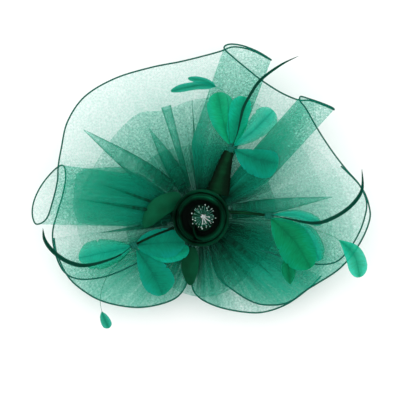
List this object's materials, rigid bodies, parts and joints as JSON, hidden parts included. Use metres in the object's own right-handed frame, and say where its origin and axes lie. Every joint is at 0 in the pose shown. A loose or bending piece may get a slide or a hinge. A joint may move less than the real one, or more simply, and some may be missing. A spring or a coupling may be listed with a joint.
{
  "type": "fascinator headpiece",
  "caption": "Crinoline fascinator: folded sheer brim round a rolled satin flower, with feather bunches and a sprung hair clip under a felt base.",
  "frame": {"origin": "centre of the underside of the felt backing, where it sits on the head", "axes": "+Z away from the head along the flower's axis, +Y towards the top fold, +X to the right as worn in front view"},
  "size_m": [0.3384, 0.284, 0.0683],
  "materials": {
    "felt": "matte",
    "stiff_disc": "matte",
    "clip_steel": "satin",
    "spring_steel": "satin",
    "sheer_crin": "satin",
    "dense_crin": "satin",
    "edge_cord": "satin",
    "thread": "matte",
    "satin": "satin",
    "stamen": "gloss",
    "binding_tape": "matte",
    "feather": "satin"
  },
  "bodies": {
    "headpiece": {"felt_backing": "felt", "base_disc": "stiff_disc", "clip_upper_arm": "clip_steel", "clip_pin": "clip_steel", "clip_spring": "spring_steel", "brim_mesh": "sheer_crin", "brim_edge_cord": "edge_cord", "right_lobe_mesh": "dense_crin", "right_lobe_cord": "edge_cord", "lower_right_lobe_mesh": "dense_crin", "lower_right_lobe_cord": "edge_cord", "lower_left_lobe_mesh": "dense_crin", "lower_left_lobe_cord": "edge_cord", "outer_middle_mesh": "sheer_crin", "middle_mesh": "sheer_crin", "inner_ruffle": "dense_crin", "left_inner_loop": "dense_crin", "pleat_spikes": "dense_crin", "gathering_thread": "thread", "flower_calyx": "satin", "flower_outer_petal": "satin", "flower_middle_petal": "satin", "flower_inner_petal": "satin", "stamen_core": "stamen", "stamens": "stamen", "left_petal": "satin", "lower_petal": "satin", "top_stem": "satin", "right_stem": "satin", "left_stem": "satin", "top_binding": "binding_tape", "right_binding": "binding_tape", "left_binding": "binding_tape", "top_feather_1": "feather", "top_feather_2": "feather", "top_feather_3": "feather", "top_feather_4": "feather", "right_feather_1": "feather", "right_feather_2": "feather", "right_feather_3": "feather", "right_feather_4": "feather", "left_feather_1": "feather", "left_feather_2": "feather", "left_feather_3": "feather", "left_feather_4": "feather", "top_curved_feather": "feather", "top_drop_feather": "feather", "right_curved_feather": "feather", "right_drop_feather": "feather", "left_curved_feather": "feather", "left_drop_feather": "feather"},
    "clip_lever": {"clip_lower_arm": "clip_steel"}
  },
  "joints": [
    {"name": "clip_jaw", "type": "hinge", "parent": "headpiece", "child": "clip_lever", "pos_m": [0.014, 0, -0.0044], "axis": [0, -1, 0], "range_deg": [0, 25], "stiffness_Nm_per_rad": 0.1, "springref_deg": -45.84, "deforming": ["clip_spring"]}
  ]
}
